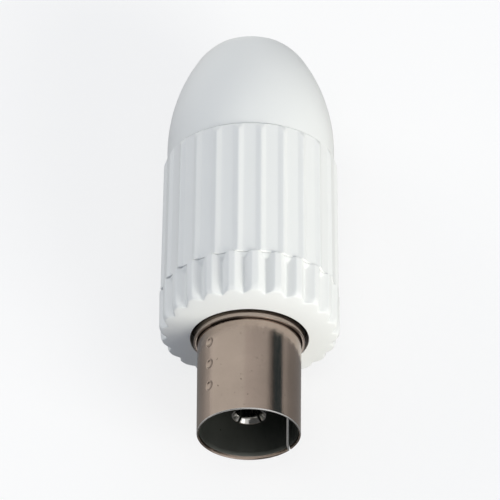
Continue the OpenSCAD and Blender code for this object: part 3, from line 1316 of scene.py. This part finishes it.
@dataclass
class CentreContact(Piece):
    """Turned socket for the centre pin, sprung at the front and a solder cup at the rear."""

    node: ClassVar[str] = "centre_contact"
    body: ClassVar[Body] = Body.FRONT
    finish: ClassVar[Finish] = BRIGHT
    outer_radius: float = 1.72
    bore: float = 1.2
    pin_depth: float = 9.5
    flare_length: float = 0.45
    flare_depth: float = 0.36
    slot_count: int = 4
    slot_first: float = 44.3
    slot_width: float = 0.3
    slot_length: float = 6.4
    flange_radius: float = 2.32
    flange_front: float = 15.65
    flange_thick: float = 1.0
    stem_radius: float = 1.5
    cup_radius: float = 0.85
    cup_depth: float = 3.4
    cup_window: float = 2.4
    cup_turn: float = 90.0
    cup_rim: float = 0.2
    cup_tip: float = 0.3
    cup_ease: float = 0.001
    lip: float = 0.07
    edge: float = 0.1
    flare_edge: float = 0.12
    pinhole: float = 0.02
    # Where the stem's section ends, and how fine the mesh is
    bore_start: float = 0.2
    finger_step: float = 0.5
    stem_step: float = 0.8
    cup_step: float = 0.3
    finger_rings: int = 24
    finger_crowding: float = 1.6
    finger_columns: int = 26
    stem_columns: int = 96
    cup_rings: int = 12
    cup_columns: int = 40

    def build(self) -> bpy.types.Object:
        """Builds the contact.

        Returns:
            The contact as one mesh of fingers, stem and cup.
        """
        front, rear = self.axis.reach(self.node)
        slot_end = front + self.slot_length
        mesh = RingMesh(self.axis)
        finger = self._finger(front, slot_end)
        sweep = FULL_TURN / self.slot_count
        for index in range(self.slot_count):
            middle = self.slot_first + (index + 0.5) * sweep
            mesh.slotted(finger, middle, sweep, self.slot_width, self.finger_columns)
        turns = np.linspace(0, FULL_TURN, self.stem_columns, endpoint=False)
        mesh.turned(self._stem(slot_end, front, rear), turns)
        mesh.slotted(self._cup(rear), self.cup_turn, FULL_TURN, 2 * self.cup_radius, self.cup_columns)
        return mesh.finish("centre_contact_socket")

    def _finger(self, front: float, slot_end: float) -> np.ndarray:
        """Draws a spring finger.

        Args:
            front: Height of its tip.
            slot_end: Height at which the slots end.

        Returns:
            Half section, out along its outside and back along its inside.
        """
        outside = outline([
            Corner(self.outer_radius - self.lip, front), Corner(self.outer_radius, front, self.lip),
            Corner(self.outer_radius, slot_end)], self.finger_step)
        inside = outline([
            Corner(self.bore + self.flare_depth, front),
            Corner(self.bore, front + self.flare_length, self.flare_edge),
            Corner(self.bore, slot_end)], self.finger_step)
        return out_and_back(outside, inside, np.linspace(0, 1, self.finger_rings) ** self.finger_crowding)

    def _stem(self, slot_end: float, front: float, rear: float) -> np.ndarray:
        """Draws the stem, from the slots to the solder cup.

        Args:
            slot_end: Height at which the slots end.
            front: Height of the contact's front end.
            rear: Height of its rear end.

        Returns:
            Closed half section.
        """
        flange_rear = self.flange_front + self.flange_thick
        window = rear - self.cup_window
        cup_end = rear - self.cup_depth
        pin_end = front + self.pin_depth
        return outline([
            Corner(self.bore, slot_end), Corner(self.outer_radius, slot_end),
            Corner(self.outer_radius, self.flange_front),
            Corner(self.flange_radius, self.flange_front, self.edge),
            Corner(self.flange_radius, flange_rear, self.edge), Corner(self.stem_radius, flange_rear),
            Corner(self.stem_radius, window), Corner(self.cup_radius, window),
            Corner(self.cup_radius, cup_end), Corner(self.pinhole, cup_end - self.cup_tip),
            Corner(self.pinhole, pin_end), Corner(self.bore, pin_end),
            Corner(self.bore, slot_end + self.bore_start)], self.stem_step)

    def _cup(self, rear: float) -> np.ndarray:
        """Draws the open part of the solder cup.

        Args:
            rear: Height of the contact's rear end.

        Returns:
            Half section, out along its outside and back along its inside.
        """
        window = rear - self.cup_window
        outside = outline([
            Corner(self.stem_radius, window), Corner(self.stem_radius, rear, self.edge),
            Corner(self.stem_radius - self.cup_rim, rear)], self.cup_step)
        inner = self.cup_radius + self.cup_ease
        inside = outline([Corner(inner, window), Corner(inner, rear)], self.cup_step)
        return out_and_back(outside, inside, np.linspace(0, 1, self.cup_rings))


@dataclass
class ConnectorBody(Piece):
    """Turned body: a lip round the sleeve, a shoulder that stops it and the threaded skirt."""

    node: ClassVar[str] = "connector_body"
    body: ClassVar[Body] = Body.FRONT
    finish: ClassVar[Finish] = TURNED
    sleeve_radius: float = 5.15
    lip_gap: float = 0.08
    lip_wall: float = 0.62
    lip_gap_depth: float = 1.2
    lip_proud: float = 0.54
    lip_step: float = 0.33
    lip_groove: float = 1.4
    lip_round: float = 0.1
    press_gap: float = 0.02
    seat: float = 15.89
    shoulder_front: float = 17.05
    shoulder_thick: float = 1.5
    shoulder_radius: float = 4.5
    cable_radius: float = 5.3
    thread_root: float = 6.6
    thread_depth: float = 0.45
    thread_pitch: float = 1.5
    skirt_bevel: float = 0.5
    # Small roundings, where the runs of the section start and end, and how fine the mesh is
    lip_edge: float = 0.04
    groove_edge: float = 0.1
    seat_edge: float = 0.08
    seat_run: float = 0.2
    skirt_start: float = 0.3
    thread_start: float = 0.5
    skirt_edge: float = 0.08
    rear_edge: float = 0.1
    bevel_start: float = 0.05
    bore_start: float = 0.6
    tail_end: float = 0.5
    plain_step: float = 0.6
    tail_step: float = 0.4
    thread_rings: int = 10
    columns: int = 180

    def build(self) -> bpy.types.Object:
        """Builds the body.

        Returns:
            The body as one closed mesh.
        """
        front, rear = self.axis.reach(self.node)
        lip_in = self.sleeve_radius + self.lip_gap
        lip_out = lip_in + self.lip_wall
        lip_nose = lip_out - self.lip_step
        groove_rear = front + self.lip_proud + self.lip_groove
        hold = self.sleeve_radius + self.press_gap
        shoulder_rear = self.shoulder_front + self.shoulder_thick
        gap_end = front + self.lip_gap_depth
        plain = outline([
            Corner(self.cable_radius, rear - self.bore_start), Corner(self.cable_radius, shoulder_rear),
            Corner(self.shoulder_radius, shoulder_rear), Corner(self.shoulder_radius, self.shoulder_front),
            Corner(hold, self.shoulder_front), Corner(hold, gap_end),
            Corner(lip_in, gap_end), Corner(lip_in, front, self.lip_edge),
            Corner(lip_nose, front, self.lip_round), Corner(lip_nose, groove_rear, self.groove_edge),
            Corner(lip_out, groove_rear), Corner(lip_out, self.seat),
            Corner(self.thread_root, self.seat, self.seat_edge),
            Corner(self.thread_root, self.seat + self.seat_run)], self.plain_step)
        end = rear - self.skirt_bevel
        skirt = outline([
            Corner(self.thread_root, self.seat + self.skirt_start),
            Corner(self.thread_root, end)], self.thread_pitch / self.thread_rings)
        tail = outline([
            Corner(self.thread_root - self.bevel_start, end + self.bevel_start),
            Corner(self.thread_root - self.skirt_bevel, rear, self.skirt_edge),
            Corner(self.cable_radius, rear, self.rear_edge),
            Corner(self.cable_radius, rear - self.tail_end)], self.tail_step)
        section = np.vstack([plain, skirt, tail])
        turns = np.linspace(0, FULL_TURN, self.columns, endpoint=False)
        radius = np.repeat(section[:, :1], len(turns), axis=1)
        thread = Thread(self.thread_depth, self.thread_pitch, self.seat + self.thread_start, end)
        rows = slice(len(plain), len(plain) + len(skirt))
        radius[rows] += thread.rise(skirt[:, 1:], turns[None, :])
        mesh = RingMesh(self.axis)
        mesh.add(radius, section[:, 1:], turns[None, :])
        return mesh.finish("connector_body_turning")


@dataclass
class Insulator(PlainPiece):
    """Moulded disc that centres one contact in the other."""

    node: ClassVar[str] = "insulator"
    body: ClassVar[Body] = Body.FRONT
    finish: ClassVar[Finish] = RESIN


@dataclass
class CableClaw(PlainPiece):
    """Sprung claw that grips the cable."""

    node: ClassVar[str] = "cable_claw"
    body: ClassVar[Body] = Body.GRIP
    finish: ClassVar[Finish] = SHEET


def flat_sheet(name: str, middle: Vector, across: Vector, along: Vector) -> bpy.types.Mesh:
    """Draws a flat sheet with four corners.

    Args:
        name: Name of the mesh.
        middle: Its middle, in metres.
        across: Half of its width, as a vector.
        along: Half of its length, as a vector.

    Returns:
        The new mesh.
    """
    mesh = bpy.data.meshes.new(name)
    signs = ((-1, -1), (1, -1), (1, 1), (-1, 1))
    mesh.from_pydata([middle + across * i + along * j for i, j in signs], [], [(0, 1, 2, 3)])
    return mesh


@dataclass(frozen=True)
class Card:
    """Plain card that only shows in the metal, as a photographer sets beside it.

    Args:
        name: Name of the card.
        levels: Brightness of its first and last edges, with 1 for white.
        middle: Its middle, in metres.
        across: Half of its width, from the first edge to the last, as a vector.
        along: Half of its length, as a vector.
        tint: Its colour.
    """

    name: str
    levels: tuple[float, float]
    middle: Vector
    across: Vector
    along: Vector
    tint: Colour = UNTINTED

    def build(self) -> None:
        """Makes the card and keeps it out of the picture and the light."""
        mesh = flat_sheet(self.name, self.middle, self.across, self.along)
        sheet = mesh.uv_layers.new(name="sheet")
        for loop, corner in zip(sheet.data, ((0, 0), (1, 0), (1, 1), (0, 1))):
            loop.uv = corner
        card = placed(self.name, mesh)
        mesh.materials.append(self._material())
        card.visible_camera = card.visible_diffuse = card.visible_shadow = False
        card.visible_transmission = card.visible_volume_scatter = False

    def _material(self) -> bpy.types.Material:
        """Makes the card's glow.

        Returns:
            A material whose glow changes evenly from the first edge to the last.
        """
        shading = Shading(self.name)
        shading.set(Base_Color=(0, 0, 0, 1), Roughness=1.0, Specular_IOR_Level=0.0)
        shading.set(Emission_Color=(*self.tint, 1))
        place = shading.add("SeparateXYZ")
        shading.join(shading.add("TexCoord").outputs["UV"], place.inputs["Vector"])
        level = shading.add("MapRange", To_Min=self.levels[0], To_Max=self.levels[1])
        shading.join(place.outputs["X"], level.inputs["Value"])
        shading.join(level.outputs["Result"], shading.surface.inputs["Emission Strength"])
        return shading.material


@dataclass(frozen=True)
class Lamp:
    """Soft square lamp that doesn't show in the metal.

    Args:
        name: Name of the lamp.
        turn: Turn round the connector in degrees, from the front by way of the right.
        rise: Angle above the floor in degrees.
        level: Light that it throws on a surface facing it, with 1 for plain white.
        colour: Its colour.
        distance: Distance from the connector, in metres.
        size: Width of its face, in metres.
    """

    name: str
    turn: float
    rise: float
    level: float
    colour: Colour
    distance: float = 2.0
    size: float = 1.08

    def place(self) -> Vector:
        """Works out where the lamp hangs.

        Returns:
            Its place, in metres.
        """
        turn, rise = math.radians(self.turn), math.radians(self.rise)
        flat = self.distance * math.cos(rise)
        return Vector((flat * math.sin(turn), -flat * math.cos(turn), self.distance * math.sin(rise)))

    def power(self) -> float:
        """Returns the power in watts that gives the level at the connector."""
        return self.level * (math.pi * self.distance) ** 2

    def hang(self) -> None:
        """Hangs the lamp so that it points at the connector."""
        light = bpy.data.lights.new(self.name, "AREA")
        light.size = self.size
        light.energy = self.power()
        light.color = self.colour
        hung = placed(self.name, light)
        hung.location = self.place()
        hung.rotation_mode = "QUATERNION"
        hung.rotation_quaternion = self.place().to_track_quat("Z", "Y")
        hung.visible_glossy = False


@dataclass
class Studio:
    """Pale floor, soft light and the camera of the photograph.

    Args:
        axis: Axis of the connector.
    """

    axis: Axis
    # Camera, with lengths in millimetres
    image_size: int = 500
    mouth_pixel: tuple[float, float] = (248.7, 434.5)
    pixels_per_mm: float = 10.15
    distance: float = 1500.0
    tilt: float = 30.5
    turn: float = 4.3
    lean: float = 0.43
    sensor: float = 36.0
    # Floor and room
    floor_half: float = 3.0
    floor_grey: float = 0.30
    floor_roughness: float = 0.95
    floor_glow: float = 0.695
    room_tint: Colour = (0.74, 0.82, 1.0)
    room_level: float = 0.46
    background: float = 0.8
    # Cards, with lengths in metres apart from the height of the bands
    card_reach: float = 0.12
    band_height: float = 5.4
    band_half: float = 0.05
    strip_place: float = 0.05
    strip_lift: float = 0.0002
    strip_half: float = 0.1
    front_gap: float = 0.0075
    front_lift: float = 0.0004
    front_halves: tuple[float, float] = (0.008, 0.0065)
    front_level: float = 0.1
    lamps: ClassVar[tuple[Lamp, ...]] = (
        Lamp("key_lamp", 45.0, 20.0, 0.79, (1.0, 0.985, 0.91)),
        Lamp("front_lamp", 32.0, 8.0, 0.28, (1.0, 0.985, 0.91)),
        Lamp("rear_left_lamp", 235.0, 20.0, 0.35, (1.0, 0.99, 0.94)),
        Lamp("rear_lamp", 165.0, 20.0, 0.20, (1.0, 0.97, 0.85)),
        Lamp("top_lamp", 0.0, 82.0, 0.08, (1.0, 0.93, 0.65)))

    def __post_init__(self) -> None:
        """Works out the directions of the view."""
        turn, tilt, lean = (math.radians(a) for a in (self.turn, self.tilt, self.lean))
        self.along = Vector((0, 1, 0))
        self.near = Vector((math.sin(turn), 0, math.cos(turn)))
        self.side = self.along.cross(self.near)
        self.towards = self.near * math.cos(tilt) - self.along * math.sin(tilt)
        up = self.along * math.cos(tilt) + self.near * math.sin(tilt)
        self.right = self.side * math.cos(lean) + up * math.sin(lean)
        self.up = up * math.cos(lean) - self.side * math.sin(lean)

    def camera(self) -> None:
        """Sets the camera at the photograph's angle."""
        lens = bpy.data.cameras.new("photo_camera")
        lens.sensor_fit = "HORIZONTAL"
        lens.sensor_width = self.sensor
        lens.lens = self.sensor * self.pixels_per_mm * self.distance / self.image_size
        camera = placed("photo_camera", lens)
        mouth = Vector((0, self.axis.mouth, self.axis.height))
        right = (self.mouth_pixel[0] - self.image_size / 2) / self.pixels_per_mm
        down = (self.mouth_pixel[1] - self.image_size / 2) / self.pixels_per_mm
        spot = mouth - self.right * right + self.up * down + self.towards * self.distance
        frame_axes = Matrix((self.right, self.up, self.towards)).transposed().to_4x4()
        camera.matrix_world = Matrix.Translation(spot * MM) @ frame_axes
        bpy.context.scene.camera = camera

    def floor(self) -> None:
        """Lays a plain pale floor that keeps the connector's shadow."""
        across, along = Vector((self.floor_half, 0, 0)), Vector((0, self.floor_half, 0))
        mesh = flat_sheet("floor", Vector((0, 0, 0)), across, along)
        floor = placed("floor", mesh)
        shading = Shading("pale_floor")
        grey = (self.floor_grey,) * 3
        shading.set(Base_Color=(*grey, 1), Roughness=self.floor_roughness, Specular_IOR_Level=0.0)
        shading.set(Emission_Color=(*UNTINTED, 1))
        glow = shading.add("Math", operation="MULTIPLY")
        glow.inputs[1].default_value = self.floor_glow
        shading.join(shading.background_rays(), glow.inputs[0])
        shading.join(glow.outputs["Value"], shading.surface.inputs["Emission Strength"])
        mesh.materials.append(shading.material)

    def world(self) -> None:
        """Fills the room with even light under a nearly white background."""
        world = bpy.data.worlds.new("studio")
        bpy.context.scene.world = world
        world.use_nodes = True
        nodes = Nodes(world.node_tree)
        room = nodes.tree.nodes["Background"]
        room.inputs["Color"].default_value = (*self.room_tint, 1)
        room.inputs["Strength"].default_value = self.room_level
        grey = (self.background,) * 3
        white = nodes.add("Background", Color=(*grey, 1))
        mix = nodes.add("MixShader")
        sources = nodes.background_rays(), room.outputs["Background"], white.outputs["Background"]
        for source, target in zip(sources, mix.inputs):
            nodes.join(source, target)
        nodes.join(mix.outputs["Shader"], nodes.tree.nodes["World Output"].inputs["Surface"])

    def mirrored_way(self, turn: float) -> Vector:
        """Works out what the sleeve mirrors to the camera.

        Args:
            turn: Turn on the sleeve in degrees, to the right of its near side.

        Returns:
            The direction that it mirrors there.
        """
        angle = math.radians(2 * turn)
        flat = self.side * math.sin(angle) + self.near * math.cos(angle)
        tilt = math.radians(self.tilt)
        return flat * math.cos(tilt) + self.along * math.sin(tilt)

    def strip(self, name: str, turns: tuple[float, float], levels: tuple[float, float],
              tint: Colour = UNTINTED) -> None:
        """Sets a card that the sleeve mirrors as a band along it.

        Args:
            name: Name of the card.
            turns: Turns of the band's left and right edges, to the right of the near side.
            levels: Brightness at its left and right edges.
            tint: Its colour.
        """
        start = Vector((0, self.axis.mouth + self.band_height, self.axis.height)) * MM
        low, high = (self.mirrored_way(turn) * self.card_reach for turn in turns)
        half = self.along * self.band_half
        Card(name, levels, start + (low + high) / 2, (high - low) / 2, half, tint).build()

    def floor_strip(self, name: str, places: tuple[float, float], levels: tuple[float, float]) -> None:
        """Lays a card on the floor beside the connector.

        Args:
            name: Name of the card.
            places: Places of its near and far edges along X, in metres.
            levels: Brightness at its near and far edges.
        """
        near, far = places
        middle = Vector(((near + far) / 2, self.strip_place, self.strip_lift))
        across = Vector(((far - near) / 2, 0, 0))
        Card(name, levels, middle, across, Vector((0, self.strip_half, 0))).build()

    def flag(self, name: str, way: Vector, halves: tuple[float, float], level: float) -> None:
        """Hangs a card in front of the mouth.

        Args:
            name: Name of the card.
            way: Direction of its middle from the mouth.
            halves: Half of its width and of its height, as shares of its distance.
            level: Its brightness.
        """
        start = Vector((0, self.axis.mouth, self.axis.height)) * MM
        middle = way.normalized() * self.card_reach
        across = middle.cross(self.along).normalized() * self.card_reach
        upright = across.cross(way.normalized())
        Card(name, (level, level), start + middle, across * halves[0], upright * halves[1]).build()

    def cards(self) -> None:
        """Sets the cards that give the metal its bands and its dark edges."""
        self.strip("left_sky_card", (-45.0, -5.0), (0.95, 0.88), (0.98, 1.0, 0.99))
        self.strip("right_sky_card", (-5.0, 20.0), (0.77, 0.57))
        self.strip("stripe_edge_card", (20.0, 27.0), (0.50, 0.04))
        self.strip("stripe_card", (27.0, 38.5), (0.075, 0.075), (0.55, 0.85, 1.0))
        self.strip("right_rim_card", (38.5, 46.0), (0.48, 0.46))
        front = Vector((0, self.axis.mouth * MM - self.front_gap, self.front_lift))
        across, along = Vector((self.front_halves[0], 0, 0)), Vector((0, self.front_halves[1], 0))
        Card("front_card", (self.front_level,) * 2, front, across, along).build()
        self.flag("dark_card", Vector((-0.55, -0.66, 0.42)), (0.75, 0.6), 0.08)
        self.flag("glint_card", Vector((0.6, -0.66, 0.45)), (0.17, 0.17), 2.2)
        self.floor_strip("left_floor_card", (-0.006, -0.05), (0.21, 0.58))
        self.floor_strip("left_far_card", (-0.05, -0.4), (0.58, 0.70))
        self.floor_strip("right_floor_card", (0.006, 0.15), (0.285, 0.44))

    def build(self) -> None:
        """Sets up the whole studio."""
        self.camera()
        self.floor()
        self.world()
        for lamp in self.lamps:
            lamp.hang()
        self.cards()
        bpy.context.scene.view_settings.view_transform = "Standard"
        log.info("studio: camera %.0f mm away", self.distance)


def main() -> None:
    """Builds and dresses the connector, then sets up the studio."""
    logging.basicConfig(level=logging.INFO, format="%(name)s %(message)s")
    axis = Axis.of_frame()
    wardrobe = Wardrobe(axis)
    for kind in (RearCover, FrontCollar, OuterContact, CentreContact, ConnectorBody, Insulator, CableClaw):
        kind(axis).dress(wardrobe)
    Studio(axis).build()


if __name__ == "__main__":
    main()
